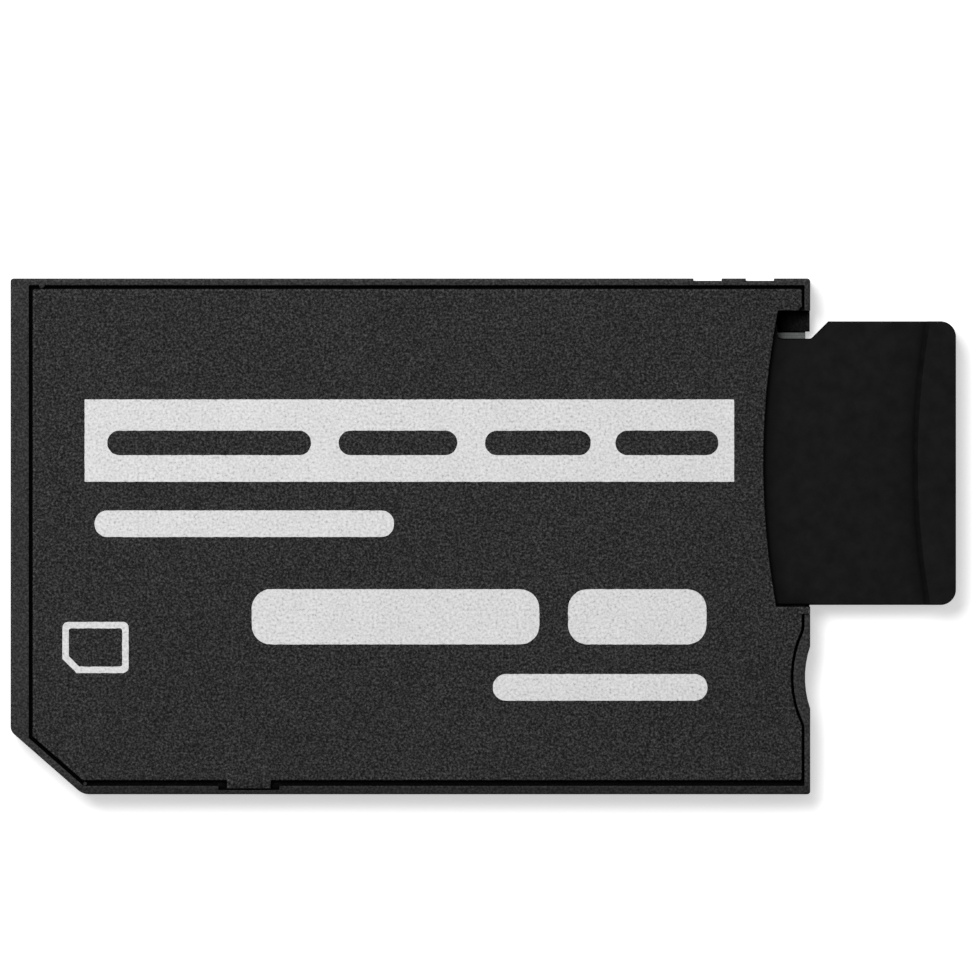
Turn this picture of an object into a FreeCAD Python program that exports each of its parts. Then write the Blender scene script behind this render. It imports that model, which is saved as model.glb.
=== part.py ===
"""Slim memory card adapter with the small card that slides into its open end.

The adapter is a flat plastic case: a bottom shell with a raised rim, and a top cover that
lies inside the rim. Between them are a circuit board, ten contacts that the host touches
through windows in the shell, and eight springs that touch the pads of the small card.

The origin is the middle of the underside. +X points out of the card mouth, -X is the end
that goes into the host, +Y is the plain side and +Z is the printed side. Sizes are in mm.
"""
import FreeCAD, Part
import math
import os
import re

import Sketcher

# Driving sizes, in the order in which they are filled into the sheet
SIZES = {
    # Case
    "body_length": 31.0,
    "body_width": 20.0,
    "body_height": 1.6,
    "corner_cut_length": 2.8,
    "corner_cut_width": 2.45,
    "corner_round": 0.12,
    "corner_cut_round": 0.4,
    "corner_cut_side_round": 0.7,
    "edge_break": 0.04,
    "rim_break": 0.08,
    "foot_break": 0.1,
    "lead_in": 0.35,
    # Bottom shell
    "floor_thickness": 0.25,
    "wall_front": 1.1,
    "wall_north": 0.84,
    "wall_south": 0.91,
    "wall_east": 1.4,
    "wall_cut": 0.75,
    "lip_drop": 0.03,
    "lip_front": 0.71,
    "lip_north": 0.26,
    "lip_south": 0.33,
    "lip_east": 0.22,
    "lip_cut": 0.265,
    "thumb_offset": 2.43,
    "thumb_depth": 0.2,
    "thumb_radius": 3.76,
    "thumb_lip": 0.45,
    "thumb_blend": 0.55,
    "edge_notch_count": 2,
    "edge_notch_length": 1.11,
    "edge_notch_depth": 0.09,
    "edge_notch_pitch": 2.03,
    "edge_notch_setback": 1.94,
    "boss_radius": 0.5,
    "boss_drop": 0.05,
    "boss_setback_front": 6.0,
    "boss_setback_mouth": 5.0,
    "boss_inset_north": 3.4,
    "boss_inset_south": 3.5,
    # Card mouth
    "guide_wall": 1.59,
    "card_side_gap": 0.07,
    "card_lift": 0.03,
    "card_headroom": 0.04,
    "card_ledge": 0.39,
    "mouth_relief_width": 0.35,
    "mouth_relief_length": 1.35,
    "mouth_setback": 0.17,
    "mouth_curve_depth": 1.82,
    "mouth_curve_radius": 31.0,
    "jamb_gap": 0.02,
    # Top cover
    "seam_gap": 0.15,
    "seam_gap_east": 0.1,
    "seam_gap_south": 0.22,
    "cover_round": 0.1,
    "tongue_nick": 0.15,
    "rail_width": 0.59,
    "rail_foot_gap": 0.02,
    "rail_end_gap": 0.05,
    "tongue_width": 0.29,
    "tab_setback": 9.24,
    "tab_length": 1.7,
    "tab_reach": 0.33,
    "tab_side_gap": 0.33,
    "tab_end_gap": 0.05,
    "rib_width": 0.6,
    "rib_length": 6.4,
    "rib_block_gap": 1.6,
    "rib_east_setback": 4.0,
    "rib_inset_north": 4.7,
    "rib_inset_south": 4.1,
    # Circuit board
    "board_thickness": 0.3,
    "board_gap": 0.04,
    "board_hole_gap": 0.05,
    "spring_window_lead": 1.07,
    "spring_window_length": 4.22,
    "spring_window_margin": 0.3,
    # Contacts that the host touches
    "host_contact_count": 10,
    "host_contact_pitch": 1.45,
    "host_contact_inset": 3.175,
    "host_contact_length": 2.95,
    "host_contact_width": 0.95,
    "host_contact_thickness": 0.04,
    "host_window_width": 1.1,
    "host_window_end_gap": 0.1,
    # Contact block and its springs
    "spring_count": 8,
    "spring_width": 0.45,
    "spring_thickness": 0.1,
    "spring_tail": 1.15,
    "spring_joggle": 0.35,
    "spring_bend_gap": 0.02,
    "spring_reach": 2.1,
    "spring_crown": 0.2,
    "spring_toe": 0.5,
    "spring_toe_rise": 0.03,
    "spring_floor_gap": 0.05,
    "spring_card_gap": 0.01,
    "block_length": 1.35,
    "block_height": 0.7,
    "block_end_wall": 0.35,
    "block_stop_gap": 0.05,
    "channel_side_gap": 0.05,
    "channel_height": 0.2,
    # Parts on the board
    "chip_length": 5.0,
    "chip_width": 5.0,
    "chip_height": 0.6,
    "chip_block_gap": 3.0,
    "chip_inset": 7.1,
    "chip_corner": 0.4,
    "chip_dot_radius": 0.25,
    "chip_dot_depth": 0.05,
    "capacitor_count": 3,
    "capacitor_height": 0.5,
    "resistor_count": 2,
    "resistor_height": 0.35,
    "small_part_length": 1.0,
    "small_part_width": 0.5,
    "small_part_round": 0.05,
    "small_part_block_gap": 2.15,
    "small_part_pitch": 1.3,
    "small_part_rib_gap": 0.6,
    # Small card
    "card_length": 15.0,
    "card_width": 11.0,
    "card_thickness": 0.7,
    "card_out": 5.65,
    "card_tail_round": 0.6,
    "card_nose_round": 0.3,
    "card_edge_break": 0.05,
    "card_notch_start": 4.94,
    "card_notch_ramp": 0.67,
    "card_notch_depth": 0.67,
    "card_notch_end": 6.92,
    "card_notch_round": 0.2,
    "card_nose_start": 9.7,
    "card_nose_ramp": 1.3,
    "card_nose_step": 1.3,
    "card_nose_margin": 0.6,
    "card_nose_bevel": 0.2,
    "ridge_height": 0.3,
    "ridge_depth": 1.65,
    "ridge_radius": 31.0,
    "ridge_slope": 0.17,
    "card_pad_length": 2.9,
    "card_pad_width": 0.8,
    "card_pad_thickness": 0.04,
    "card_pad_recess": 0.01,
    "card_pad_setback": 0.8,
    "card_pad_inset": 1.0,
}

# Cuts run this far past the faces that they open
PAST = 1.0

# How near an edge must lie to the place that it is looked for at
NEAR = 1e-4

# Planes of the case
END = "(body_length / 2)"
SIDE = "(body_width / 2)"
RIM_TOP = "(body_height - lip_drop)"
BOARD_TOP = "(floor_thickness + board_thickness)"
CARD_FLOOR = f"({BOARD_TOP} + card_lift)"
COVER_SEAT = f"({CARD_FLOOR} + card_thickness + card_headroom)"

# Sides of the card mouth
GUIDE = f"({SIDE} - guide_wall)"
SLOT_CENTRE = f"({GUIDE} - card_side_gap - card_width / 2)"
RAIL = f"({GUIDE} - card_side_gap * 2 - card_width)"
LEDGE = f"({GUIDE} - card_side_gap - card_ledge)"
MOUTH_NORTH = f"({GUIDE} + mouth_relief_width)"
TONGUE = f"({RAIL} - tongue_width)"
JAMB = f"({TONGUE} - jamb_gap)"
BOARD_FRONT = f"({END} - mouth_setback)"

# The card's nose and the row of pads that fills it, measured from the middle of the card
NOSE_SIDE = "(card_width / 2 - card_nose_step)"
FIRST_PAD = "(-card_width / 2 + card_pad_inset)"
LAST_PAD = f"({NOSE_SIDE} - card_nose_margin - card_pad_width / 2)"
PAD_PITCH = f"(({LAST_PAD} - {FIRST_PAD}) / (spring_count - 1))"

# The card stops here, and the springs and the parts on the board are set out from there
STOP = f"({END} - card_length - block_stop_gap)"
BLOCK_BACK = f"({STOP} - block_length)"
FIRST_SPRING = f"({SLOT_CENTRE} + {FIRST_PAD})"
LAST_SPRING = f"({SLOT_CENTRE} + {LAST_PAD})"
WINDOW_START = f"({STOP} - spring_window_lead)"
WINDOW_MARGIN = "(spring_width / 2 + spring_window_margin)"
WINDOW_SOUTH = f"({FIRST_SPRING} - {WINDOW_MARGIN})"
WINDOW_NORTH = f"({LAST_SPRING} + {WINDOW_MARGIN})"

# Middle of the first of the contacts that the host touches
FIRST_CONTACT = f"({SIDE} - host_contact_inset - (host_contact_count - 1) * host_contact_pitch)"

# Middles of the cover's ribs that hold the board down
RIB_NORTH = f"({SIDE} - rib_inset_north)"
RIB_SOUTH = f"(-{SIDE} + rib_inset_south)"

# Centre of the thumb notch's circle
THUMB_X = f"({END} - thumb_depth + thumb_radius)"
THUMB_Y = f"({JAMB} - thumb_offset)"

doc = FreeCAD.newDocument("memory_card_adapter")
sheet = doc.addObject("Spreadsheet::Sheet", "Sizes")
parts = []


def fill_sheet():
    """Write each driving size into the sheet under its own alias."""
    for row, (alias, size) in enumerate(SIZES.items(), start=1):
        sheet.set(f"A{row}", alias)
        sheet.set(f"B{row}", str(size))
        sheet.setAlias(f"B{row}", alias)
    doc.recompute()


def bound(text):
    """Give an expression with its names turned into references to the sheet."""

    def reference(match):
        word = match.group(0)
        return f"Sizes.{word}" if word in SIZES else word

    return re.sub(r"[a-z_]+", reference, str(text))


def value(text):
    """Work an expression out as a number."""
    return float(sheet.evalExpression(bound(text)))


def number_of(alias):
    """Give a count from the sheet."""
    return int(round(value(alias)))


def new_body(label):
    """Start a sub-part, which is written out under its label."""
    body = doc.addObject("PartDesign::Body", label)
    body.Label = label
    parts.append(body)
    return body


def origin_part(body, role):
    """Find a plane or an axis of the body's own origin."""
    return next(item for item in body.Origin.OriginFeatures if item.Role == role)


def new_sketch(body, name, height, plane="XY_Plane"):
    """Start a sketch at a height above one of the body's origin planes."""
    sketch = body.newObject("Sketcher::SketchObject", name)
    sketch.AttachmentSupport = [(origin_part(body, plane), "")]
    sketch.MapMode = "FlatFace"
    sketch.setExpression("AttachmentOffset.Base.z", bound(height))
    return sketch


def pin_point(sketch, geometry, point, x, y):
    """Fix one point of a sketch at a place given by two expressions."""
    for kind, text in (("DistanceX", x), ("DistanceY", y)):
        rule = Sketcher.Constraint(kind, -1, 1, geometry, point, value(text))
        index = sketch.addConstraint(rule)
        sketch.setExpression(f"Constraints[{index}]", bound(text))


def set_radius(sketch, geometry, radius):
    """Fix the radius of an arc or a circle by an expression."""
    rule = Sketcher.Constraint("Radius", geometry, value(radius))
    index = sketch.addConstraint(rule)
    sketch.setExpression(f"Constraints[{index}]", bound(radius))


def arc_edge(start, end, radius, side):
    """Give the short arc between two points, whose centre is on the left where side is 1."""
    chord = end - start
    rise = math.sqrt(radius ** 2 - (chord.Length / 2) ** 2)
    left = FreeCAD.Vector(-chord.y, chord.x, 0) / chord.Length
    centre = (start + end) / 2 + left * rise * side
    first, last = (start, end) if side > 0 else (end, start)
    angles = [math.atan2(point.y - centre.y, point.x - centre.x) for point in (first, last)]
    circle = Part.Circle(centre, FreeCAD.Vector(0, 0, 1), radius)
    return Part.ArcOfCircle(circle, angles[0], angles[1])


def add_outline(sketch, points):
    """Draw a closed outline, counter-clockwise, with every corner fixed.

    A point is (x, y), and the edge that leaves it is straight. A point (x, y, radius, side)
    is left by an arc, whose centre is on the left of the way along where side is 1.
    """
    places = [FreeCAD.Vector(value(point[0]), value(point[1]), 0) for point in points]
    edges = []
    for index, point in enumerate(points):
        start = places[index]
        end = places[(index + 1) % len(points)]
        if len(point) == 4:
            shape = arc_edge(start, end, value(point[2]), point[3])
            ends = (1, 2) if point[3] > 0 else (2, 1)
        else:
            shape = Part.LineSegment(start, end)
            ends = (1, 2)
        edges.append((sketch.addGeometry(shape, False), ends))
    for index, (edge, ends) in enumerate(edges):
        following, next_ends = edges[(index + 1) % len(edges)]
        sketch.addConstraint(Sketcher.Constraint("Coincident", edge, ends[1], following, next_ends[0]))
        pin_point(sketch, edge, ends[0], points[index][0], points[index][1])
        if len(points[index]) == 4:
            set_radius(sketch, edge, points[index][2])


def add_rectangle(sketch, left, right, bottom, top):
    """Draw a rectangle between four expressions."""
    add_outline(sketch, [(left, bottom), (right, bottom), (right, top), (left, top)])


def add_circle(sketch, x, y, radius):
    """Draw a circle round a fixed centre."""
    shape = Part.Circle(FreeCAD.Vector(value(x), value(y), 0), FreeCAD.Vector(0, 0, 1), value(radius))
    circle = sketch.addGeometry(shape, False)
    pin_point(sketch, circle, 3, x, y)
    set_radius(sketch, circle, radius)


def volume_of(body):
    """Give the body's volume so far, or zero before its first feature."""
    doc.recompute()
    return 0.0 if body.Shape.isNull() else body.Shape.Volume


def extrude(body, kind, name, sketch, length, symmetric=False):
    """Pad a sketch upwards or pocket it downwards, and check that it changed the body."""
    before = volume_of(body)
    feature = body.newObject(f"PartDesign::{kind}", name)
    feature.Profile = sketch
    feature.setExpression("Length", bound(length))
    if symmetric:
        feature.SideType = "Symmetric"
    after = volume_of(body)
    grown = after - before if kind == "Pad" else before - after
    if grown <= 0:
        raise RuntimeError(f"{body.Label}: {name} left the volume as it was")
    return feature


def pad(body, name, sketch, length, symmetric=False):
    """Add the sketch's area, extruded upwards."""
    return extrude(body, "Pad", name, sketch, length, symmetric)


def pocket(body, name, sketch, length, symmetric=False):
    """Cut the sketch's area away, downwards."""
    return extrude(body, "Pocket", name, sketch, length, symmetric)


def row_along(body, name, feature, axis, pitch, count):
    """Repeat a feature along one of the body's origin axes."""
    pattern = body.newObject("PartDesign::LinearPattern", name)
    pattern.Originals = [feature]
    pattern.Direction = (origin_part(body, axis), [""])
    pattern.setExpression("Length", bound(f"{pitch} * ({count} - 1)"))
    pattern.setExpression("Occurrences", bound(count))
    body.Tip = pattern
    doc.recompute()
    return pattern


def upright_at(*places):
    """Pick the upright edges that stand at the given places."""
    spots = [(value(x), value(y)) for x, y in places]

    def wanted(edge):
        ends = [vertex.Point for vertex in edge.Vertexes]
        if len(ends) != 2 or abs(ends[0].z - ends[1].z) < NEAR:
            return False
        return any(all(math.hypot(end.x - x, end.y - y) < NEAR for end in ends) for x, y in spots)

    return wanted


def level_at(height, inside=None):
    """Pick the edges that lie flat at a height, and inside a box given as (x0, x1, y0, y1)."""
    level = value(height)
    limits = [value(limit) for limit in inside] if inside else None

    def wanted(edge):
        box = edge.BoundBox
        if abs(box.ZMin - level) > NEAR or abs(box.ZMax - level) > NEAR:
            return False
        if limits is None:
            return True
        left, right, bottom, top = limits
        return left < box.XMin and box.XMax < right and bottom < box.YMin and box.YMax < top

    return wanted


def dress(body, kind, name, size, wanted):
    """Fillet or chamfer the picked edges of the body so far."""
    doc.recompute()
    base = body.Tip
    names = [f"Edge{index}" for index, edge in enumerate(base.Shape.Edges, start=1) if wanted(edge)]
    if not names:
        raise RuntimeError(f"{body.Label}: {name} finds no edge")
    feature = body.newObject(f"PartDesign::{kind}", name)
    feature.Base = (base, names)
    feature.setExpression("Radius" if kind == "Fillet" else "Size", bound(size))
    doc.recompute()
    return feature


def cut_corner(depth, front, south):
    """Give the corner cut's two ends, moved in by a depth, between two walls moved in as well."""
    slant = "sqrt(1 / corner_cut_length ^ 2 + 1 / corner_cut_width ^ 2)"
    share = f"(1 + ({depth}) * {slant})"
    upper = f"corner_cut_width * ({share} - ({front}) / corner_cut_length)"
    lower = f"corner_cut_length * ({share} - ({south}) / corner_cut_width)"
    return [(f"-{END} + {front}", f"-{SIDE} + {upper}"), (f"-{END} + {lower}", f"-{SIDE} + {south}")]


def thumb_half(radius, inset):
    """Give half the length that the thumb notch's curve takes out of a face set in from the end."""
    return f"sqrt(({radius}) ^ 2 - (thumb_radius - thumb_depth + {inset}) ^ 2)"


def front_bevel(body, front, size):
    """Cut a bevel along the underside of an end that faces -X."""
    wedge = new_sketch(body, "bevel_outline", 0, "XZ_Plane")
    corner = (f"{front} - {PAST}", f"-{PAST}")
    upper = (f"{front} - {PAST}", f"{size} + {PAST}")
    lower = (f"{front} + {size} + {PAST}", f"-{PAST}")
    add_outline(wedge, [corner, lower, upper])
    return pocket(body, "bevel", wedge, "body_width * 2", symmetric=True)


def make_bottom_shell():
    """The tray: floor, walls, rim, host windows, bosses and the lower half of the mouth."""
    body = new_body("bottom_shell")
    north_west = (f"-{END}", SIDE)
    south_east = (END, f"-{SIDE}")
    north_east = (END, SIDE)
    cut_ends = cut_corner("0", "0", "0")

    outline = new_sketch(body, "case_outline", 0)
    add_outline(outline, [north_west] + cut_ends + [south_east, north_east])
    pad(body, "case", outline, RIM_TOP)
    dress(body, "Fillet", "corners", "corner_round", upright_at(north_west, south_east, north_east))
    dress(body, "Fillet", "cut_front", "corner_cut_round", upright_at(cut_ends[0]))
    dress(body, "Fillet", "cut_side", "corner_cut_side_round", upright_at(cut_ends[1]))

    thumb = new_sketch(body, "thumb_circle", RIM_TOP)
    add_circle(thumb, THUMB_X, THUMB_Y, "thumb_radius")
    pocket(body, "thumb_notch", thumb, RIM_TOP)

    notch = new_sketch(body, "edge_notch_outline", RIM_TOP)
    notch_middle = f"({END} - edge_notch_setback - (edge_notch_count - 1) * edge_notch_pitch)"
    add_rectangle(
        notch,
        f"{notch_middle} - edge_notch_length / 2",
        f"{notch_middle} + edge_notch_length / 2",
        f"{SIDE} - edge_notch_depth",
        f"{SIDE} + {PAST}",
    )
    edge_notch = pocket(body, "edge_notch", notch, RIM_TOP)
    row_along(body, "edge_notches", edge_notch, "X_Axis", "edge_notch_pitch", "edge_notch_count")

    dress(body, "Chamfer", "foot", "foot_break", level_at(0))
    dress(body, "Chamfer", "rim_edge", "rim_break", level_at(RIM_TOP))
    front_bevel(body, f"-{END}", "lead_in")

    cut_cover_recess(body)
    cut_inside(body)

    window = new_sketch(body, "host_window_outline", "floor_thickness")
    add_rectangle(
        window,
        f"-{END} - {PAST}",
        f"-{END} + wall_front + board_gap + host_contact_length + host_window_end_gap * 2",
        f"{FIRST_CONTACT} - host_window_width / 2",
        f"{FIRST_CONTACT} + host_window_width / 2",
    )
    host_window = pocket(body, "host_window", window, f"floor_thickness + {PAST}")
    row_along(body, "host_windows", host_window, "Y_Axis", "host_contact_pitch", "host_contact_count")

    bosses = new_sketch(body, "boss_circles", "floor_thickness")
    for x, y in boss_places():
        add_circle(bosses, x, y, "boss_radius")
    pad(body, "bosses", bosses, "board_thickness - boss_drop")


def boss_places():
    """The two bosses that hold the board, near opposite corners."""
    return [
        (f"-{END} + boss_setback_front", f"{SIDE} - boss_inset_north"),
        (f"{END} - boss_setback_mouth", f"-{SIDE} + boss_inset_south"),
    ]


def cut_cover_recess(body):
    """The shallow recess that the cover lies in, open at the card mouth."""
    west = f"-{END} + lip_front"
    east = f"({END} - lip_east)"
    north = f"{SIDE} - lip_north"
    south = f"(-{SIDE} + lip_south)"
    curve = "thumb_radius + thumb_lip"
    half = thumb_half(curve, "lip_east")
    curve_start = (east, f"{THUMB_Y} - {half}", curve, -1)
    curve_end = (east, f"{THUMB_Y} + {half}")

    recess = new_sketch(body, "recess_outline", RIM_TOP)
    outline = [(west, north)]
    outline += cut_corner("lip_cut", "lip_front", "lip_south")
    outline += [(east, south), curve_start, curve_end, (east, JAMB)]
    outline += [(f"{END} + {PAST}", JAMB), (f"{END} + {PAST}", MOUTH_NORTH), (east, MOUTH_NORTH)]
    outline += [(east, north)]
    add_outline(recess, outline)
    pocket(body, "cover_recess", recess, f"{RIM_TOP} - {COVER_SEAT}")
    dress(body, "Fillet", "thumb_blends", "thumb_blend", upright_at(curve_start[:2], curve_end))

    tab_middle = f"(-{END} + tab_setback)"
    half_gap = "(tab_length / 2 + tab_side_gap)"
    seat = new_sketch(body, "tab_seat_outline", RIM_TOP)
    add_rectangle(
        seat,
        f"{tab_middle} - {half_gap}",
        f"{tab_middle} + {half_gap}",
        f"{south} + seam_gap_south - tab_reach - tab_end_gap",
        f"{south} + seam_gap_south",
    )
    pocket(body, "tab_seat", seat, f"{RIM_TOP} - {COVER_SEAT}")


def cut_inside(body):
    """The space for the card, the bed of the board below it, and the floor's step at the mouth."""
    west = f"-{END} + wall_front"
    east = f"{END} - wall_east"
    north = f"{SIDE} - wall_north"
    south = f"-{SIDE} + wall_south"
    outside = f"{END} + {PAST}"
    relief = f"{END} - mouth_relief_length"
    cut_ends = cut_corner("wall_cut", "wall_front", "wall_south")

    bay = new_sketch(body, "bay_outline", COVER_SEAT)
    outline = [(west, north)] + cut_ends + [(east, south), (east, JAMB)]
    outline += [(outside, JAMB), (outside, MOUTH_NORTH), (relief, MOUTH_NORTH), (relief, GUIDE)]
    outline += [(STOP, GUIDE), (STOP, north)]
    add_outline(bay, outline)
    pocket(body, "card_bay", bay, f"{COVER_SEAT} - {BOARD_TOP}")

    bed = new_sketch(body, "bed_outline", BOARD_TOP)
    outline = [(west, LEDGE)] + cut_ends + [(east, south), (east, JAMB), (outside, JAMB), (outside, LEDGE)]
    add_outline(bed, outline)
    pocket(body, "board_bed", bed, "board_thickness")

    step = new_sketch(body, "mouth_step_outline", "floor_thickness")
    add_rectangle(step, BOARD_FRONT, outside, f"{RAIL} + card_ledge", LEDGE)
    pocket(body, "mouth_step", step, f"floor_thickness + {PAST}")


def make_top_cover():
    """The lid: a plate with a curved mouth, a card rail, a tab and ribs that hold the board."""
    body = new_body("top_cover")
    west = f"-{END} + lip_front + seam_gap"
    east = f"({END} - lip_east - seam_gap_east)"
    north = f"{SIDE} - lip_north - seam_gap"
    south = f"(-{SIDE} + lip_south + seam_gap_south)"
    apex = f"({END} - mouth_curve_depth)"
    nick = (f"{east} - tongue_nick", MOUTH_NORTH)
    cut_ends = cut_corner("lip_cut + seam_gap", "lip_front + seam_gap", "lip_south + seam_gap_south")

    def curve_x(y):
        fall = f"sqrt(mouth_curve_radius ^ 2 - ({y} - {SLOT_CENTRE}) ^ 2)"
        return f"{apex} + mouth_curve_radius - {fall}"

    plate = new_sketch(body, "plate_outline", COVER_SEAT)
    outline = [(west, north)] + cut_ends + [(east, south), (east, TONGUE), (END, TONGUE), (END, RAIL)]
    outline += [(curve_x(RAIL), RAIL, "mouth_curve_radius", -1), (curve_x(MOUTH_NORTH), MOUTH_NORTH)]
    outline += [nick, (east, f"{MOUTH_NORTH} + tongue_nick"), (east, north)]
    add_outline(plate, outline)
    pad(body, "plate", plate, f"body_height - {COVER_SEAT}")

    radius = "thumb_radius + thumb_lip + seam_gap_east"
    half = thumb_half(radius, "lip_east + seam_gap_east")
    thumb = new_sketch(body, "thumb_circle", "body_height")
    add_circle(thumb, THUMB_X, THUMB_Y, radius)
    pocket(body, "thumb_curve", thumb, f"body_height - {COVER_SEAT}")
    blends = upright_at((east, f"{THUMB_Y} - {half}"), (east, f"{THUMB_Y} + {half}"))
    dress(body, "Fillet", "thumb_blends", "thumb_blend", blends)
    rounded = upright_at((west, north), cut_ends[0], cut_ends[1], (east, south), (east, north))
    dress(body, "Fillet", "corners", "cover_round", rounded)

    tab_middle = f"(-{END} + tab_setback)"
    tab = new_sketch(body, "tab_outline", COVER_SEAT)
    add_rectangle(
        tab,
        f"{tab_middle} - tab_length / 2",
        f"{tab_middle} + tab_length / 2",
        f"{south} - tab_reach",
        f"{south} + tab_reach",
    )
    pad(body, "tab", tab, f"body_height - {COVER_SEAT}")
    dress(body, "Chamfer", "top_edge", "edge_break", level_at("body_height"))

    rail_end = f"{END} - wall_east - rail_end_gap"
    foot = f"({BOARD_TOP} + rail_foot_gap)"
    rail = new_sketch(body, "rail_outline", foot)
    outline = [(STOP, f"{RAIL} - rail_width"), (rail_end, f"{RAIL} - rail_width"), (rail_end, TONGUE)]
    outline += [(END, TONGUE), (END, RAIL), (STOP, RAIL)]
    add_outline(rail, outline)
    pad(body, "card_rail", rail, f"{COVER_SEAT} - {foot}")

    ribs = new_sketch(body, "rib_outlines", foot)
    west_start = f"({BLOCK_BACK} - rib_block_gap - rib_length)"
    east_end = f"({END} - rib_east_setback)"
    for start, middle in (
        (west_start, RIB_NORTH),
        (west_start, RIB_SOUTH),
        (f"({east_end} - rib_length)", RIB_SOUTH),
    ):
        add_rectangle(
            ribs, start, f"{start} + rib_length", f"{middle} - rib_width / 2", f"{middle} + rib_width / 2"
        )
    pad(body, "ribs", ribs, f"{COVER_SEAT} - {foot}")


def make_circuit_board():
    """The board, with the window that the springs dip into and holes for the bosses."""
    body = new_body("circuit_board")
    west = f"-{END} + wall_front + board_gap"
    east = f"{END} - wall_east - board_gap"
    south = f"-{SIDE} + wall_south + board_gap"
    cut_ends = cut_corner("wall_cut + board_gap", "wall_front + board_gap", "wall_south + board_gap")
    jamb = f"{JAMB} + board_gap"
    ledge = f"{LEDGE} - board_gap"

    outline = new_sketch(body, "board_outline", "floor_thickness")
    points = [(west, ledge)] + cut_ends + [(east, south), (east, jamb), (BOARD_FRONT, jamb)]
    add_outline(outline, points + [(BOARD_FRONT, ledge)])
    pad(body, "board", outline, "board_thickness")

    window = new_sketch(body, "spring_window_outline", BOARD_TOP)
    add_rectangle(
        window,
        WINDOW_START,
        f"{WINDOW_START} + spring_window_length",
        WINDOW_SOUTH,
        WINDOW_NORTH,
    )
    pocket(body, "spring_window", window, "board_thickness")

    holes = new_sketch(body, "hole_circles", BOARD_TOP)
    for x, y in boss_places():
        add_circle(holes, x, y, "boss_radius + board_hole_gap")
    pocket(body, "boss_holes", holes, "board_thickness")


def make_host_contacts():
    """Gold pads under the board, one behind each window of the shell."""
    start = f"-{END} + wall_front + board_gap + host_window_end_gap"
    for index in range(number_of("host_contact_count")):
        middle = f"({FIRST_CONTACT} + {index} * host_contact_pitch)"
        contact = doc.addObject("Part::Box", f"host_contact_{index + 1}")
        contact.Label = contact.Name
        contact.setExpression("Length", bound("host_contact_length"))
        contact.setExpression("Width", bound("host_contact_width"))
        contact.setExpression("Height", bound("host_contact_thickness"))
        contact.setExpression("Placement.Base.x", bound(start))
        contact.setExpression("Placement.Base.y", bound(f"{middle} - host_contact_width / 2"))
        contact.setExpression("Placement.Base.z", bound("floor_thickness - host_contact_thickness"))
        parts.append(contact)


def make_contact_block():
    """The moulded bar that stops the card and holds the springs down in their channels."""
    body = new_body("contact_block")
    outline = new_sketch(body, "block_outline", BOARD_TOP)
    add_rectangle(
        outline, BLOCK_BACK, STOP, f"{WINDOW_SOUTH} - block_end_wall", f"{WINDOW_NORTH} + block_end_wall"
    )
    pad(body, "block", outline, "block_height")

    reach = "(spring_width / 2 + channel_side_gap)"
    channel = new_sketch(body, "channel_outline", f"{BOARD_TOP} + channel_height")
    add_rectangle(
        channel,
        f"{BLOCK_BACK} - {PAST}",
        f"{STOP} + {PAST}",
        f"{FIRST_SPRING} - {reach}",
        f"{FIRST_SPRING} + {reach}",
    )
    first_channel = pocket(body, "channel", channel, f"channel_height + {PAST}")
    row_along(body, "channels", first_channel, "Y_Axis", PAD_PITCH, "spring_count")
    dress(body, "Chamfer", "top_edge", "edge_break", level_at(f"{BOARD_TOP} + block_height"))


def spring_line():
    """Points along the underside of a spring strip: tail, joggle, arm, crown and toe."""
    low = "floor_thickness + spring_floor_gap"
    crown = f"{CARD_FLOOR} - spring_card_gap - spring_thickness"
    crown_start = f"{STOP} + spring_reach"
    return [
        (f"{WINDOW_START} - spring_tail", BOARD_TOP),
        (f"{WINDOW_START} + spring_bend_gap", BOARD_TOP),
        (f"{WINDOW_START} + spring_bend_gap + spring_joggle", low),
        (STOP, low),
        (crown_start, crown),
        (f"{crown_start} + spring_crown", crown),
        (f"{crown_start} + spring_crown + spring_toe", f"{low} + spring_toe_rise"),
    ]


def make_card_springs():
    """Bent strips with a tail on the board and a crown just under the card's pads."""
    under = spring_line()
    over = [(x, f"{z} + spring_thickness") for x, z in reversed(under)]
    for index in range(number_of("spring_count")):
        body = new_body(f"card_spring_{index + 1}")
        middle = f"({FIRST_SPRING} + {index} * {PAD_PITCH})"
        strip = new_sketch(body, "strip_outline", f"-{middle}", "XZ_Plane")
        add_outline(strip, under + over)
        pad(body, "strip", strip, "spring_width", symmetric=True)


def make_controller_chip():
    """The chip between the two rows of contacts, with a cut corner and a dot."""
    body = new_body("controller_chip")
    east = f"({BLOCK_BACK} - chip_block_gap)"
    west = f"({east} - chip_length)"
    north = f"({SIDE} - chip_inset)"
    south = f"({north} - chip_width)"
    outline = new_sketch(body, "chip_outline", BOARD_TOP)
    corner = [(f"{west} + chip_corner", north), (west, f"{north} - chip_corner")]
    add_outline(outline, corner + [(west, south), (east, south), (east, north)])
    pad(body, "chip", outline, "chip_height")
    dot = new_sketch(body, "dot_circle", f"{BOARD_TOP} + chip_height")
    add_circle(dot, f"{west} + chip_corner * 2", f"{south} + chip_corner * 2", "chip_dot_radius")
    pocket(body, "dot", dot, "chip_dot_depth")


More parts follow.
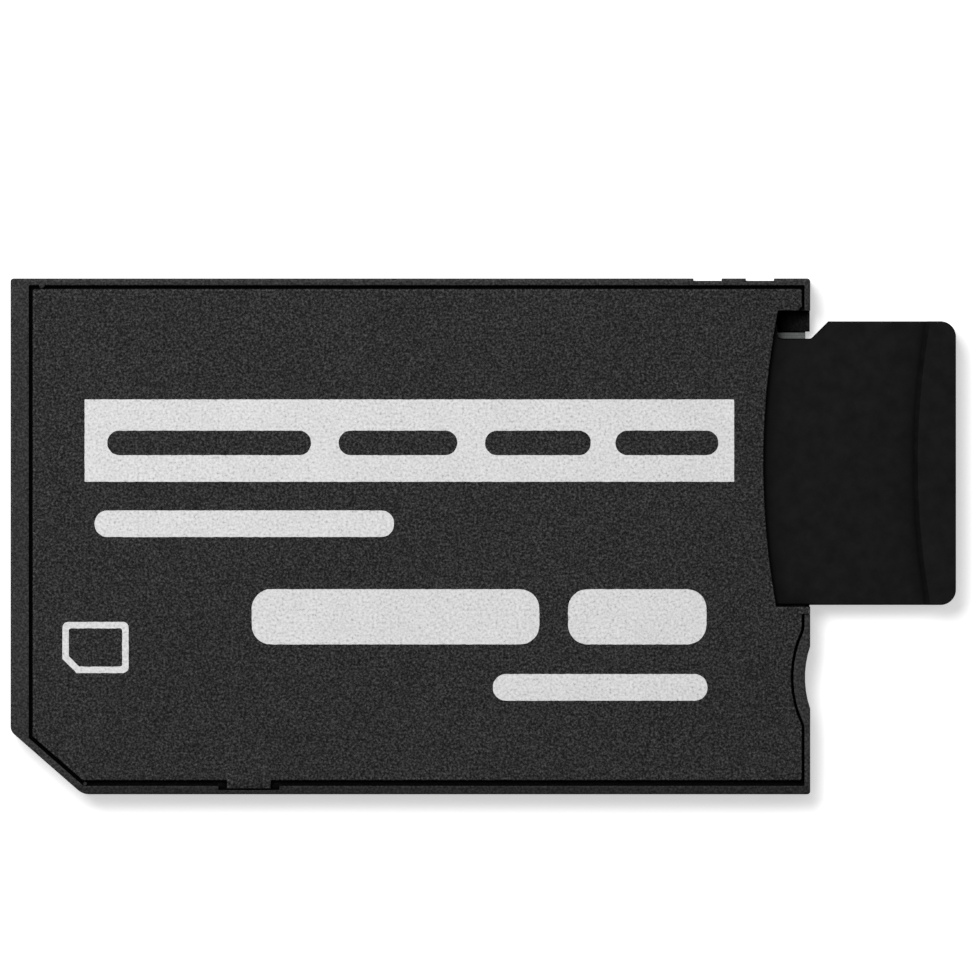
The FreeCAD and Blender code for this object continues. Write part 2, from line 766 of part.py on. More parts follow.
def make_small_parts(kind, places_before):
    """Capacitors or resistors, in the row of places between the chip and the contact block."""
    east = f"({BLOCK_BACK} - small_part_block_gap)"
    first = f"({RIB_NORTH} - rib_width / 2 - small_part_rib_gap - small_part_length / 2)"
    for index in range(number_of(f"{kind}_count")):
        body = new_body(f"{kind}_{index + 1}")
        middle_y = f"({first} - ({places_before} + {index}) * small_part_pitch)"
        outline = new_sketch(body, "outline", BOARD_TOP)
        add_rectangle(
            outline,
            f"{east} - small_part_width",
            east,
            f"{middle_y} - small_part_length / 2",
            f"{middle_y} + small_part_length / 2",
        )
        pad(body, "block", outline, f"{kind}_height")
        top = f"{BOARD_TOP} + {kind}_height"
        dress(body, "Fillet", "top_edge", "small_part_round", level_at(top))


def place_card(item, x="0", y="0", z="0"):
    """Put a piece of the card where the card rests, part way out of the mouth."""
    item.setExpression("Placement.Base.x", bound(f"{END} + card_out + {x}"))
    item.setExpression("Placement.Base.y", bound(f"{SLOT_CENTRE} + {y}"))
    item.setExpression("Placement.Base.z", bound(f"{CARD_FLOOR} + {z}"))


def make_memory_card():
    """The small card, drawn from the middle of its tail, with its nose towards -X."""
    body = new_body("memory_card")
    half = "(card_width / 2)"
    notch_floor = f"{half} - card_notch_depth"
    tail_corners = [("0", half), ("0", f"-{half}")]
    notch_corners = [("-card_notch_start - card_notch_ramp", notch_floor), ("-card_notch_end", notch_floor)]
    notch_tip = ("-card_notch_end", half)
    nose_corners = [("-card_length", NOSE_SIDE), ("-card_length", f"-{half}")]

    outline = new_sketch(body, "card_outline", 0)
    points = [tail_corners[0], ("-card_notch_start", half)] + notch_corners + [notch_tip]
    points += [("-card_nose_start + card_nose_ramp", half), ("-card_nose_start", NOSE_SIDE)]
    add_outline(outline, points + nose_corners + [tail_corners[1]])
    pad(body, "card", outline, "card_thickness")

    ridge_side = f"-ridge_depth + ridge_radius - sqrt(ridge_radius ^ 2 - {half} ^ 2)"
    ridge = new_sketch(body, "ridge_outline", "card_thickness")
    ridge_start = (ridge_side, half, "ridge_radius", 1)
    add_outline(ridge, [tail_corners[0], ridge_start, (ridge_side, f"-{half}"), tail_corners[1]])
    pad(body, "ridge", ridge, "ridge_height")
    ridge_top = "card_thickness + ridge_height"
    inside = ("-card_length", "-ridge_slope", f"-{half} - {PAST}", f"{half} + {PAST}")
    ridge_line = level_at(ridge_top, inside)

    def curved(edge):
        return ridge_line(edge) and isinstance(edge.Curve, Part.Circle)

    dress(body, "Chamfer", "ridge_slope", "ridge_slope", curved)
    dress(body, "Fillet", "tail_corners", "card_tail_round", upright_at(*tail_corners))
    dress(body, "Fillet", "nose_corners", "card_nose_round", upright_at(*nose_corners))
    dress(body, "Fillet", "notch_corners", "card_notch_round", upright_at(notch_tip, *notch_corners))
    dress(body, "Chamfer", "foot", "card_edge_break", level_at(0))
    front_bevel(body, "-card_length", "card_nose_bevel")

    card_edges = level_at("card_thickness")
    ridge_edges = level_at(ridge_top)
    ridge_curve = value("ridge_radius") / 2

    def outer(edge):
        along_ridge = isinstance(edge.Curve, Part.Circle) and edge.Curve.Radius > ridge_curve
        return (card_edges(edge) or ridge_edges(edge)) and not along_ridge

    dress(body, "Chamfer", "top_edges", "card_edge_break", outer)

    depth = "card_pad_thickness + card_pad_recess"
    seat = new_sketch(body, "pad_outline", depth)
    add_rectangle(
        seat,
        "-card_length + card_pad_setback",
        "-card_length + card_pad_setback + card_pad_length",
        f"{FIRST_PAD} - card_pad_width / 2",
        f"{FIRST_PAD} + card_pad_width / 2",
    )
    pad_seat = pocket(body, "pad_seat", seat, f"{depth} + {PAST}")
    row_along(body, "pad_seats", pad_seat, "Y_Axis", PAD_PITCH, "spring_count")
    place_card(body)


def make_card_pads():
    """Gold pads in the card's underside, one over each spring when the card is in."""
    for index in range(number_of("spring_count")):
        middle = f"({FIRST_PAD} + {index} * {PAD_PITCH})"
        item = doc.addObject("Part::Box", f"card_pad_{index + 1}")
        item.Label = item.Name
        item.setExpression("Length", bound("card_pad_length"))
        item.setExpression("Width", bound("card_pad_width"))
        item.setExpression("Height", bound("card_pad_thickness"))
        start = "card_pad_setback - card_length"
        place_card(item, start, f"{middle} - card_pad_width / 2", "card_pad_recess")
        parts.append(item)


def check_and_write():
    """Check every object and every shape, then write one STEP file for each sub-part."""
    doc.recompute()
    for item in doc.Objects:
        if "Invalid" in item.State or "Error" in item.State:
            raise RuntimeError(f"{item.Label} failed: {item.State}")
    for item in parts:
        if item.Shape.isNull() or not item.Shape.isValid() or not item.Shape.Solids:
            raise RuntimeError(f"{item.Label} has no valid solid")
    os.makedirs("parts", exist_ok=True)
    for item in parts:
        item.Shape.exportStep(f"parts/{item.Label}.step")
        print(f"{item.Label}: {len(item.Shape.Solids)} solid, {item.Shape.Volume:.4f} mm3")


fill_sheet()
make_bottom_shell()
make_top_cover()
make_circuit_board()
make_host_contacts()
make_contact_block()
make_card_springs()
make_controller_chip()
make_small_parts("capacitor", "0")
make_small_parts("resistor", "capacitor_count")
make_memory_card()
make_card_pads()
check_and_write()
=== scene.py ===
"""Looks of a slim memory card adapter and its small card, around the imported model.

It gives every piece its finish, prints the cover, adds the weld marks in the seam, and sets a
pale floor, soft light and a camera above the printed side. Sizes are in metres, in the frame
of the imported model: +X points out of the card mouth, +Y is the plain side, +Z the printed side.
"""
import math

import bmesh
import bpy
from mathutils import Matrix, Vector, noise
from mathutils.geometry import delaunay_2d_cdt


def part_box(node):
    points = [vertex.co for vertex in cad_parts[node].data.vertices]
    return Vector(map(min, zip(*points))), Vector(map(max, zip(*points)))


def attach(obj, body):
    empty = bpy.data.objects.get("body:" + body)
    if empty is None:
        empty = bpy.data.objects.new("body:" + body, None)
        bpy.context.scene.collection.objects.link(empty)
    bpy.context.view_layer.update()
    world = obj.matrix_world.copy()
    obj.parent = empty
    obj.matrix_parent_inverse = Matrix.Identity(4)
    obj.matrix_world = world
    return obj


MM = 0.001

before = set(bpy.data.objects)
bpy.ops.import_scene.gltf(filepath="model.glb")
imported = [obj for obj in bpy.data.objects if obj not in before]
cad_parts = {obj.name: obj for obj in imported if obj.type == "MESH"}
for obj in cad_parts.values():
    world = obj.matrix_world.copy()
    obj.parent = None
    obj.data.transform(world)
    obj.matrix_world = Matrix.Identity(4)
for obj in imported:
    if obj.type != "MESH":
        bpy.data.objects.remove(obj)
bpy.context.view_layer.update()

# The photograph's frame, and the edges of the case and the card in it, in pixels
IMAGE_SIDE = 980
CASE_LEFT_PX = 5.0
CASE_RIGHT_PX = 814.0
CASE_TOP_PX = 284.2
CASE_BOTTOM_PX = 788.6
CARD_RIGHT_PX = 961.5

# Band of print, in pixels: left, right, top and bottom
BAND_PX = (80, 737, 402.5, 483)
BAND_ROUND = 0.03 * MM

# Bars of print, in pixels: (left, right) of each bar, and (top, bottom) of its line
BAND_BARS_PX = ((103, 309), (337, 457), (485, 592), (617, 721))
BAND_LINE_PX = (433, 457)
SECOND_BARS_PX = ((90, 393),)
SECOND_LINE_PX = (511, 537)
LARGE_BARS_PX = ((249, 540), (569, 709))
LARGE_LINE_PX = (588, 642)
LARGE_ROUND = 0.75 * MM
LOWER_BARS_PX = ((493, 710),)
LOWER_LINE_PX = (671, 697)

# Sign of a card with one corner cut: left, right, top and bottom in pixels
SIGN_PX = (57.5, 124.5, 620, 670)
SIGN_LINE = 0.25 * MM
SIGN_CUT = 0.55 * MM
SIGN_ROUND = 0.22 * MM

# Ink: its outline is divided into steps, and each step creeps a little by a noise
INK_THICKNESS = 0.008 * MM
INK_STEP = 0.09 * MM
CREEP_SIZE = 1.6 * INK_STEP
CREEP_REACH = 0.014 * MM
# The noise that shifts the outline along Y is read this far from the one along X
CREEP_SHIFT = Vector((0.0, 0.0, 7.3))
# Points of an outline that are nearer than this, in millimetres, count as one
JOIN_DISTANCE = 1e-6

# Weld marks that cross the seam: column and row in pixels, and radius
WELD_MARKS = (
    (36.7, 291.5, 0.11 * MM),
    (350, 288.9, 0.055 * MM),
    (400, 288.9, 0.055 * MM),
    (80.4, 778.2, 0.075 * MM),
)
WELD_SWELL = 0.6
WELD_HEIGHT = 0.3

# Most of a noise lies between these values
NOISE_LOW = 0.3
NOISE_HIGH = 0.7

# Where a noise takes the tones of grained plastic and of smooth plastic
GRAIN_STOPS = (0.37, 0.5, 0.6, 0.7)
SATIN_STOPS = (0.35, 0.65)

# Shade of a crevice, from the share of open sky above it
GRAINED_CREVICES = ((0.4, 0.0), (0.55, 0.25), (0.8, 0.7), (0.95, 1.0))
SMOOTH_CREVICES = ((0.5, 0.2), (0.68, 0.25), (0.88, 0.55), (0.97, 1.0))
SMOOTH_REACH = 1.5 * MM

# A face whose normal has the first value along Z gets no crevice shade, and from the second on all
UNDERSIDE = (-0.9, -0.5)

# Cosine between the rounded normal and the face: at the first an edge gets the full painted highlight,
# at the second none
EDGE_HIGHLIGHT_TURN = (0.9, 0.99)

# The long edge that the photograph shows darker: its shade fades between these distances from it
SHADED_SIDE = (0.25 * MM, 0.55 * MM)
SHADED_SIDE_TONE = 0.6

# Edge of the tin on a ceramic block, in shares of its length
TIN_WANDER = 0.06
TIN_FADE = (0.02, 0.04)

# Camera
LENS = 600.0
SENSOR = 36.0
PIXELS_PER_MM = 25.8
CLIP_RANGE = (0.01, 10.0)

# Floor, which lies just under the part, and light
FLOOR_SIDE = 4.0
FLOOR_GAP = 0.02 * MM
FLOOR_GLOW = 0.47
WORLD_GLOW = 0.28
KEY_DIRECTION = (-0.29, 0.43, 1.0)
KEY_DISTANCE = 0.2
KEY_SIDE = 0.105
KEY_POWER = 0.365
WHITE = (1.0, 1.0, 1.0, 1.0)

case_low, case_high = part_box("bottom_shell")
card_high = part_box("memory_card")[1]
cover_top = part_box("top_cover")[1].z
rim_top = case_high.z


def photo_x(pixel):
    """Place along the case that a column of the photograph shows."""
    share = (pixel - CASE_LEFT_PX) / (CASE_RIGHT_PX - CASE_LEFT_PX)
    return case_low.x + share * (case_high.x - case_low.x)


def photo_y(pixel):
    """Place across the case that a row of the photograph shows."""
    share = (CASE_BOTTOM_PX - pixel) / (CASE_BOTTOM_PX - CASE_TOP_PX)
    return case_low.y + share * (case_high.y - case_low.y)


def add_object(name, data):
    """Put a mesh, a light or a camera into the scene."""
    item = bpy.data.objects.new(name, data)
    bpy.context.scene.collection.objects.link(item)
    return item


def add_node(tree, kind, **settings):
    """Add a shader node and set its properties."""
    node = tree.nodes.new(kind)
    for name, setting in settings.items():
        setattr(node, name, setting)
    return node


def new_material(name, roughness, specular=0.5, metallic=0.0):
    """Start a material, with its constant values on the shader's own sockets."""
    material = bpy.data.materials.new(name)
    material.use_nodes = True
    shader = material.node_tree.nodes["Principled BSDF"]
    shader.inputs["Roughness"].default_value = roughness
    shader.inputs["Specular IOR Level"].default_value = specular
    shader.inputs["Metallic"].default_value = metallic
    return material, material.node_tree, shader


def coordinates(tree, kind="Object"):
    """Object coordinates in metres, or coordinates from 0 to 1 across the piece."""
    return add_node(tree, "ShaderNodeTexCoord").outputs[kind]


def along_axis(tree, vector, axis):
    """One of the three values of a vector."""
    node = add_node(tree, "ShaderNodeSeparateXYZ")
    tree.links.new(vector, node.inputs["Vector"])
    return node.outputs[axis]


def face_normal(tree):
    """The normal of the face, without bumps or rounded edges."""
    return add_node(tree, "ShaderNodeNewGeometry").outputs["Normal"]


def grey(colour):
    """A colour as three values, where one number is a grey."""
    return (colour, colour, colour) if isinstance(colour, float) else tuple(colour)


def darker(colour, share):
    """A colour with each of its values times a share."""
    return tuple(share * value for value in colour)


def add_noise(tree, place, size, detail=2.0, rough=0.5):
    """Noise whose features are about size across."""
    node = add_node(tree, "ShaderNodeTexNoise")
    tree.links.new(place, node.inputs["Vector"])
    node.inputs["Scale"].default_value = 1.0 / size
    node.inputs["Detail"].default_value = detail
    node.inputs["Roughness"].default_value = rough
    return node.outputs["Fac"]


def add_ramp(tree, source, stops):
    """Turn a value into a grey or a colour by stops of (position, colour)."""
    node = add_node(tree, "ShaderNodeValToRGB")
    tree.links.new(source, node.inputs["Fac"])
    elements = node.color_ramp.elements
    while len(elements) < len(stops):
        elements.new(0.5)
    for element, (position, colour) in zip(elements, stops):
        element.position = position
        element.color = (*grey(colour), 1.0)
    return node.outputs["Color"]


def add_spread(tree, source, low, high):
    """Spread a noise between two greys or colours."""
    return add_ramp(tree, source, [(NOISE_LOW, low), (NOISE_HIGH, high)])


def add_mix(tree, share, first, second, blend="MIX"):
    """Mix two colours by a share, which is a number or a socket."""
    node = add_node(tree, "ShaderNodeMix", data_type="RGBA", blend_type=blend)
    for name, source in (("Factor_Float", share), ("A_Color", first), ("B_Color", second)):
        socket = next(item for item in node.inputs if item.identifier == name)
        if isinstance(source, bpy.types.NodeSocket):
            tree.links.new(source, socket)
        elif name == "Factor_Float":
            socket.default_value = source
        else:
            socket.default_value = (*grey(source), 1.0)
    return next(item for item in node.outputs if item.identifier == "Result_Color")


def add_product(tree, first, second):
    """One colour times another."""
    return add_mix(tree, 1.0, first, second, "MULTIPLY")


def add_map(tree, source, low, high, from_low=0.0, from_high=1.0):
    """Stretch a value from one range to another."""
    node = add_node(tree, "ShaderNodeMapRange")
    tree.links.new(source, node.inputs["Value"])
    node.inputs["From Min"].default_value = from_low
    node.inputs["From Max"].default_value = from_high
    node.inputs["To Min"].default_value = low
    node.inputs["To Max"].default_value = high
    return node.outputs["Result"]


def add_bump(tree, height, depth, normal=None):
    """Bump of a given depth, on top of another normal if one is given."""
    node = add_node(tree, "ShaderNodeBump")
    tree.links.new(height, node.inputs["Height"])
    node.inputs["Distance"].default_value = depth
    node.inputs["Strength"].default_value = 1.0
    if normal is not None:
        tree.links.new(normal, node.inputs["Normal"])
    return node.outputs["Normal"]


def add_soft_edges(tree, radius):
    """A normal that rounds the edges of a piece by a small radius."""
    node = add_node(tree, "ShaderNodeBevel", samples=4)
    node.inputs["Radius"].default_value = radius
    return node.outputs["Normal"]


def crevice_shade(tree, reach, stops):
    """A grey that darkens in gaps between surfaces, but not on the underside."""
    node = add_node(tree, "ShaderNodeAmbientOcclusion", samples=8)
    node.inputs["Distance"].default_value = reach
    upward = along_axis(tree, face_normal(tree), "Z")
    under = add_map(tree, upward, 1.0, 0.0, *UNDERSIDE)
    return add_mix(tree, under, add_ramp(tree, node.outputs["AO"], stops), 1.0)


def add_painted_edge_highlight(tree, rounded, colour, lift):
    """Lighten a colour along the edges as a painted highlight, where a rounded normal turns away from
    the face.
    """
    normal = face_normal(tree)
    turn = add_node(tree, "ShaderNodeVectorMath", operation="DOT_PRODUCT")
    tree.links.new(rounded, turn.inputs[0])
    tree.links.new(normal, turn.inputs[1])
    # Painted highlight: the colour is lifted by lift where the rounded normal turns from the face
    highlight = add_map(tree, turn.outputs["Value"], lift, 1.0, *EDGE_HIGHLIGHT_TURN)
    return add_product(tree, colour, highlight)


def add_shaded_side(tree, place, colour):
    """Darken a colour along the long edge that the photograph shows darker."""
    across = along_axis(tree, place, "Y")
    dark, full = (case_low.y + distance for distance in SHADED_SIDE)
    shade = add_map(tree, across, SHADED_SIDE_TONE, 1.0, dark, full)
    return add_product(tree, colour, shade)


def grained_plastic(name, tones, roughness, depth, reach, edge, lift):
    """Dark moulded plastic with a fine eroded grain, from its darkest to its lightest tone."""
    material, tree, shader = new_material(name, roughness[0], specular=0.06)
    place = coordinates(tree)
    mottle = add_noise(tree, place, 0.088 * MM, detail=3.0, rough=0.75)
    cloud = add_noise(tree, place, 3.0 * MM, detail=3.0)
    speckle = add_ramp(tree, mottle, list(zip(GRAIN_STOPS, tones)))
    tone = add_spread(tree, cloud, 0.9, 1.0)
    colour = add_shaded_side(tree, place, add_product(tree, speckle, tone))
    rounded = add_soft_edges(tree, edge)
    # The edges get a painted highlight, lifted by lift
    colour = add_painted_edge_highlight(tree, rounded, colour, lift)
    shade = crevice_shade(tree, reach, GRAINED_CREVICES)
    tree.links.new(add_product(tree, colour, shade), shader.inputs["Base Color"])
    dull = add_map(tree, mottle, *roughness)
    tree.links.new(add_mix(tree, shade, 1.0, dull), shader.inputs["Roughness"])
    tree.links.new(add_bump(tree, mottle, depth, rounded), shader.inputs["Normal"])
    return material


def smooth_plastic(name, tones, roughness, specular):
    """Dark moulded plastic with a satin face."""
    material, tree, shader = new_material(name, roughness[0], specular)
    place = coordinates(tree)
    fine = add_noise(tree, place, 0.05 * MM)
    cloud = add_noise(tree, place, 0.6 * MM, detail=4.0, rough=0.6)
    tone = add_mix(tree, 0.2, cloud, fine)
    colour = add_ramp(tree, tone, list(zip(SATIN_STOPS, tones)))
    shade = crevice_shade(tree, SMOOTH_REACH, SMOOTH_CREVICES)
    tree.links.new(add_product(tree, colour, shade), shader.inputs["Base Color"])
    tree.links.new(add_map(tree, cloud, *roughness), shader.inputs["Roughness"])
    rounded = add_soft_edges(tree, 0.03 * MM)
    tree.links.new(add_bump(tree, fine, 0.0015 * MM, rounded), shader.inputs["Normal"])
    return material


def ink_finish():
    """Pale matt ink, with specks where the grain shows through."""
    material, tree, shader = new_material("print_ink", 0.6, specular=0.3)
    place = coordinates(tree)
    grain = add_noise(tree, place, 0.1 * MM, rough=0.6)
    cloud = add_noise(tree, place, 1.5 * MM, detail=3.0)
    tone = add_ramp(tree, grain, [(0.26, 0.36), (0.38, 0.58), (0.56, 0.71), (0.76, 0.82)])
    patch = add_spread(tree, cloud, 0.95, 1.0)
    tree.links.new(add_product(tree, tone, patch), shader.inputs["Base Color"])
    tree.links.new(add_map(tree, grain, 0.5, 0.75), shader.inputs["Roughness"])
    tree.links.new(add_bump(tree, grain, 0.006 * MM), shader.inputs["Normal"])
    return material


def board_finish():
    """Grey solder mask over glass cloth."""
    material, tree, shader = new_material("board_mask", 0.4)
    place = coordinates(tree)
    cloth = add_node(tree, "ShaderNodeTexBrick", offset=0.5)
    tree.links.new(place, cloth.inputs["Vector"])
    cloth.inputs["Scale"].default_value = 1.0 / (0.4 * MM)
    cloth.inputs["Color1"].default_value = (0.08, 0.084, 0.084, 1.0)
    cloth.inputs["Color2"].default_value = (0.096, 0.1, 0.1, 1.0)
    cloth.inputs["Mortar"].default_value = (0.067, 0.07, 0.07, 1.0)
    cloth.inputs["Mortar Size"].default_value = 0.03
    cloud = add_noise(tree, place, 0.6 * MM, detail=3.0)
    tone = add_spread(tree, cloud, 0.8, 1.0)
    colour = add_product(tree, cloth.outputs["Color"], tone)
    tree.links.new(colour, shader.inputs["Base Color"])
    tree.links.new(add_map(tree, cloud, 0.32, 0.5), shader.inputs["Roughness"])
    tree.links.new(add_bump(tree, cloth.outputs["Fac"], 0.004 * MM), shader.inputs["Normal"])
    return material


def metal_finish(name, dark, light, roughness):
    """Plated metal with fine rolling lines along X."""
    material, tree, shader = new_material(name, roughness[0], metallic=1.0)
    place = coordinates(tree)
    stretch = add_node(tree, "ShaderNodeMapping")
    stretch.inputs["Scale"].default_value = (0.08, 1.0, 1.0)
    tree.links.new(place, stretch.inputs["Vector"])
    lines = add_noise(tree, stretch.outputs["Vector"], 0.04 * MM, detail=3.0)
    cloud = add_noise(tree, place, 0.5 * MM, detail=3.0)
    tone = add_mix(tree, 0.4, cloud, lines)
    tree.links.new(add_spread(tree, tone, dark, light), shader.inputs["Base Color"])
    tree.links.new(add_map(tree, cloud, *roughness), shader.inputs["Roughness"])
    tree.links.new(add_bump(tree, lines, 0.001 * MM), shader.inputs["Normal"])
    return material


def chip_part_finish(name, body, ends, ends_share):
    """A small ceramic block whose two ends along Y are tinned."""
    material, tree, shader = new_material(name, 0.5)
    across = along_axis(tree, coordinates(tree, "Generated"), "Y")
    wander = add_noise(tree, coordinates(tree), 0.12 * MM, detail=3.0)
    middle = 0.5
    along = add_node(tree, "ShaderNodeMath", operation="SUBTRACT")
    tree.links.new(across, along.inputs[0])
    along.inputs[1].default_value = middle
    off_middle = add_node(tree, "ShaderNodeMath", operation="ABSOLUTE")
    tree.links.new(along.outputs["Value"], off_middle.inputs[0])
    edge = add_node(tree, "ShaderNodeMath", operation="MULTIPLY_ADD")
    tree.links.new(wander, edge.inputs[0])
    edge.inputs[1].default_value = TIN_WANDER
    tree.links.new(off_middle.outputs["Value"], edge.inputs[2])
    fade = (middle - ends_share + distance for distance in TIN_FADE)
    tinned = add_map(tree, edge.outputs["Value"], 0.0, 1.0, *fade)
    ceramic = add_spread(tree, wander, darker(body, 0.85), body)
    tin = add_spread(tree, wander, darker(ends, 0.8), ends)
    tree.links.new(add_mix(tree, tinned, ceramic, tin), shader.inputs["Base Color"])
    tree.links.new(tinned, shader.inputs["Metallic"])
    tree.links.new(add_map(tree, tinned, 0.55, 0.3), shader.inputs["Roughness"])
    tree.links.new(add_bump(tree, wander, 0.004 * MM), shader.inputs["Normal"])
    return material


def dress_nodes():
    """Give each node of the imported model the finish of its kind, and return the shell's."""
    cover = grained_plastic(
        "cover_plastic", tones=(0.0045, 0.0228, 0.052, 0.092), roughness=(0.65, 0.82),
        depth=0.012 * MM, reach=0.3 * MM, edge=0.09 * MM, lift=2.3,
    )
    shell = grained_plastic(
        "shell_plastic", tones=(0.012, 0.03, 0.052, 0.072), roughness=(0.62, 0.78),
        depth=0.008 * MM, reach=1.5 * MM, edge=0.12 * MM, lift=1.35,
    )
    gold = metal_finish("contact_gold", (0.66, 0.42, 0.14), (0.9, 0.68, 0.32), (0.22, 0.38))
    tin = (0.7, 0.7, 0.68)
    finishes = {
        "top_cover": cover,
        "bottom_shell": shell,
        "memory_card": smooth_plastic("card_plastic", (0.0042, 0.0082), (0.5, 0.62), 0.05),
        "circuit_board": board_finish(),
        "contact_block": smooth_plastic("block_plastic", (0.02, 0.035), (0.5, 0.65), 0.4),
        "controller_chip": smooth_plastic("chip_plastic", (0.012, 0.02), (0.55, 0.7), 0.4),
        "host_contact": gold,
        "card_pad": gold,
        "card_spring": metal_finish("spring_metal", (0.5, 0.4, 0.25), (0.78, 0.64, 0.42), (0.25, 0.4)),
        "capacitor": chip_part_finish("capacitor_ceramic", (0.45, 0.3, 0.18), tin, 0.24),
        "resistor": chip_part_finish("resistor_ceramic", (0.03, 0.03, 0.035), tin, 0.2),
    }
    for name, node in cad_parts.items():
        kind = name.rstrip("0123456789").rstrip("_")
        node.data.materials.clear()
        node.data.materials.append(finishes[kind])
    return shell


def rounded_rectangle(left, right, bottom, top, radius, steps=8):
    """Points round a rectangle with rounded corners, counter-clockwise."""
    points = []
    corners = (
        (right - radius, top - radius, 0.0),
        (left + radius, top - radius, 0.5 * math.pi),
        (left + radius, bottom + radius, math.pi),
        (right - radius, bottom + radius, 1.5 * math.pi),
    )
    for x, y, start in corners:
        for step in range(steps + 1):
            angle = start + 0.5 * math.pi * step / steps
            points.append(Vector((x + radius * math.cos(angle), y + radius * math.sin(angle), 0.0)))
    return points


def bled_outline(points):
    """Divide an outline into short steps and let the ink creep a little across its edge."""
    outline = []
    for index, start in enumerate(points):
        end = points[(index + 1) % len(points)]
        steps = max(1, round((end - start).length / INK_STEP))
        for step in range(steps):
            point = start.lerp(end, step / steps)
            spot = point / CREEP_SIZE
            creep = Vector((noise.noise(spot), noise.noise(spot + CREEP_SHIFT), 0.0))
            outline.append(point + creep * CREEP_REACH)
    return outline


def inside(point, points, edges):
    """Whether a point lies inside an odd number of outlines."""
    crossings = 0
    for first, last in edges:
        start = points[first]
        end = points[last]
        if (start.y > point.y) != (end.y > point.y):
            share = (point.y - start.y) / (end.y - start.y)
            crossings += start.x + share * (end.x - start.x) > point.x
    return crossings % 2 == 1


def fill_outlines(outlines):
    """Corners in millimetres and triangles that fill outlines, where one inside another is a hole.

    The triangles are sorted, so that each run gives the same mesh.
    """
    points = []
    edges = []
    for outline in outlines:
        first = len(points)
        count = len(outline)
        points += [place.to_2d() / MM for place in outline]
        edges += [(first + step, first + (step + 1) % count) for step in range(count)]
    corners, _, triangles, _, _, _ = delaunay_2d_cdt(points, edges, [], 0, JOIN_DISTANCE)
    filled = []
    for triangle in triangles:
        middle = sum((corners[index] for index in triangle), Vector((0.0, 0.0))) / 3
        if inside(middle, points, edges):
            first = triangle.index(min(triangle))
            filled.append((*triangle[first:], *triangle[:first]))
    return corners, sorted(filled)


def print_shape(name, outlines, material):
    """A closed layer of ink with the given outlines, where an outline inside another is a hole."""
    corners, triangles = fill_outlines(outlines)
    count = len(corners)
    sides = {(triangle[step - 1], triangle[step]) for triangle in triangles for step in range(3)}
    # A side that only one triangle has lies on an outline, where the layer has its walls
    rim = sorted(side for side in sides if side[::-1] not in sides)
    faces = [triangle[::-1] for triangle in triangles]
    faces += [tuple(index + count for index in triangle) for triangle in triangles]
    faces += [(start, end, end + count, start + count) for start, end in rim]
    heights = (0.0, INK_THICKNESS)
    vertices = [(corner.x * MM, corner.y * MM, height) for height in heights for corner in corners]
    mesh = bpy.data.meshes.new(name)
    mesh.from_pydata(vertices, [], faces)
    mesh.materials.append(material)
    piece = add_object(name, mesh)
    piece.location.z = cover_top
    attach(piece, "adapter")


def bars(places, line, radius=None):
    """Outlines of bars with rounded ends, one after another in a line."""
    top = photo_y(line[0])
    bottom = photo_y(line[1])
    bend = radius or (top - bottom) / 2 - CREEP_REACH
    shapes = [
        rounded_rectangle(photo_x(left), photo_x(right), bottom, top, bend)
        for left, right in places
    ]
    return [bled_outline(shape) for shape in shapes]


def card_outline(inset):
    """Outline of a small card with its lower left corner cut, moved in by an inset."""
    left = photo_x(SIGN_PX[0]) + inset
    right = photo_x(SIGN_PX[1]) - inset
    top = photo_y(SIGN_PX[2]) - inset
    bottom = photo_y(SIGN_PX[3]) + inset
    shape = rounded_rectangle(left, right, bottom, top, SIGN_ROUND - inset / 2)
    # The cut shrinks by so much that the line is as wide along it as along the sides
    cut = SIGN_CUT - inset * (2 - math.sqrt(2))
    corner = [point for point in shape if point.x - left + point.y - bottom > cut]
    first = next(index for index, point in enumerate(shape) if point not in corner)
    ends = [Vector((left, bottom + cut, 0.0)), Vector((left + cut, bottom, 0.0))]
    return corner[:first] + ends + corner[first:]


def make_print():
    """The pale band with its dark bars, three lines of pale bars, and the sign of a card."""
    ink = ink_finish()
    left, right, top, bottom = BAND_PX
    band = rounded_rectangle(
        photo_x(left), photo_x(right), photo_y(bottom), photo_y(top), BAND_ROUND, steps=2
    )
    print_shape("print_band", [bled_outline(band)] + bars(BAND_BARS_PX, BAND_LINE_PX), ink)
    print_shape("print_second_line", bars(SECOND_BARS_PX, SECOND_LINE_PX), ink)
    print_shape("print_large_line", bars(LARGE_BARS_PX, LARGE_LINE_PX, LARGE_ROUND), ink)
    print_shape("print_lower_line", bars(LOWER_BARS_PX, LOWER_LINE_PX), ink)
    sign = [bled_outline(card_outline(0.0)), bled_outline(card_outline(SIGN_LINE))]
    print_shape("print_card_sign", sign, ink)


def make_weld_marks(material):
    """Small lumps of melted plastic where the cover is welded to the rim."""
    for index, (column, row, radius) in enumerate(WELD_MARKS, start=1):
        name = f"weld_mark_{index}"
        mesh = bpy.data.meshes.new(name)
        lump = bmesh.new()
        bmesh.ops.create_icosphere(lump, subdivisions=3, radius=radius)
        for vertex in lump.verts:
            swell = noise.noise(vertex.co / radius + Vector((index, 0.0, 0.0)))
            vertex.co *= 1.0 + WELD_SWELL * swell
            vertex.co.z *= WELD_HEIGHT
        lump.to_mesh(mesh)
        lump.free()
        mesh.shade_smooth()
        mesh.materials.append(material)
        piece = add_object(name, mesh)
        piece.location = (photo_x(column), photo_y(row), rim_top)
        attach(piece, "adapter")


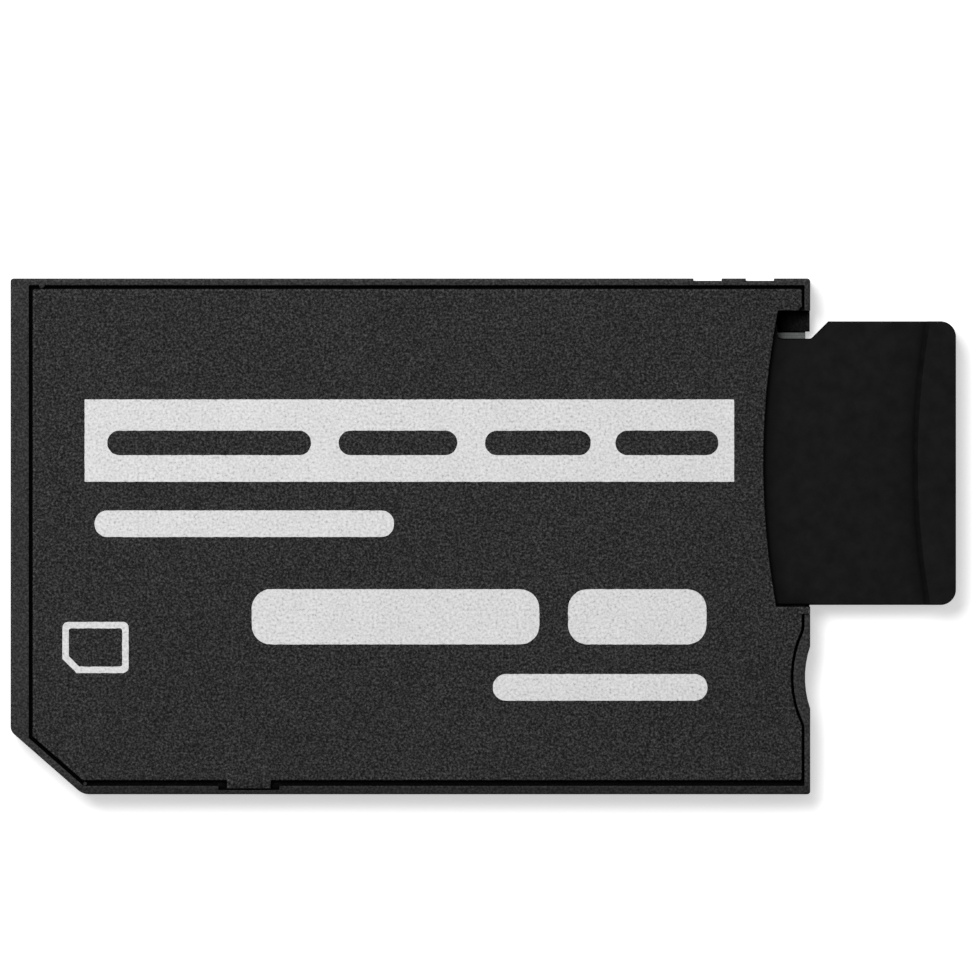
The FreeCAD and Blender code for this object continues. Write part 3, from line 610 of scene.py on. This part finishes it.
def floor_finish():
    """Pale paper that glows a little, and that is clear from below."""
    material, tree, shader = new_material("floor_paper", 0.9, specular=0.1)
    shader.inputs["Emission Color"].default_value = WHITE
    shader.inputs["Emission Strength"].default_value = FLOOR_GLOW
    paper = add_noise(tree, coordinates(tree), 3.0 * MM)
    tree.links.new(add_spread(tree, paper, 0.88, 0.9), shader.inputs["Base Color"])
    back = add_node(tree, "ShaderNodeNewGeometry")
    clear = add_node(tree, "ShaderNodeBsdfTransparent")
    side = add_node(tree, "ShaderNodeMixShader")
    tree.links.new(back.outputs["Backfacing"], side.inputs[0])
    tree.links.new(shader.outputs["BSDF"], side.inputs[1])
    tree.links.new(clear.outputs["BSDF"], side.inputs[2])
    tree.links.new(side.outputs["Shader"], tree.nodes["Material Output"].inputs["Surface"])
    return material


def make_floor():
    """A plain pale floor, which isn't part of the object."""
    mesh = bpy.data.meshes.new("floor")
    half = FLOOR_SIDE / 2
    corners = [(-half, -half, 0.0), (half, -half, 0.0), (half, half, 0.0), (-half, half, 0.0)]
    mesh.from_pydata(corners, [], [(0, 1, 2, 3)])
    mesh.materials.append(floor_finish())
    floor = add_object("floor", mesh)
    floor.location.z = -FLOOR_GAP


def light_scene():
    """A soft key from the photograph's upper left, and a dim even world."""
    scene = bpy.context.scene
    world = bpy.data.worlds.new("studio")
    world.use_nodes = True
    background = world.node_tree.nodes["Background"]
    background.inputs["Color"].default_value = WHITE
    background.inputs["Strength"].default_value = WORLD_GLOW
    scene.world = world
    scene.view_settings.view_transform = "Standard"
    light = bpy.data.lights.new("key", "AREA")
    light.size = KEY_SIDE
    light.energy = KEY_POWER
    key = add_object("key", light)
    towards = Vector(KEY_DIRECTION).normalized()
    key.location = towards * KEY_DISTANCE
    key.rotation_euler = towards.to_track_quat("Z", "Y").to_euler()


def add_camera():
    """A long lens straight above, so that the case lies where the photograph has it."""
    camera_data = bpy.data.cameras.new("camera")
    camera_data.lens = LENS
    camera_data.sensor_width = SENSOR
    camera_data.clip_start, camera_data.clip_end = CLIP_RANGE
    middle_px = (CASE_LEFT_PX + CARD_RIGHT_PX) / 2
    centre_x = (case_low.x + card_high.x) / 2 + (IMAGE_SIDE / 2 - middle_px) / PIXELS_PER_MM * MM
    middle_px = (CASE_TOP_PX + CASE_BOTTOM_PX) / 2
    centre_y = (case_low.y + case_high.y) / 2 + (middle_px - IMAGE_SIDE / 2) / PIXELS_PER_MM * MM
    width = IMAGE_SIDE / PIXELS_PER_MM * MM
    camera = add_object("camera", camera_data)
    camera.location = (centre_x, centre_y, cover_top + width * LENS / SENSOR)
    bpy.context.scene.camera = camera


shell_plastic = dress_nodes()
make_print()
make_weld_marks(shell_plastic)
make_floor()
light_scene()
add_camera()
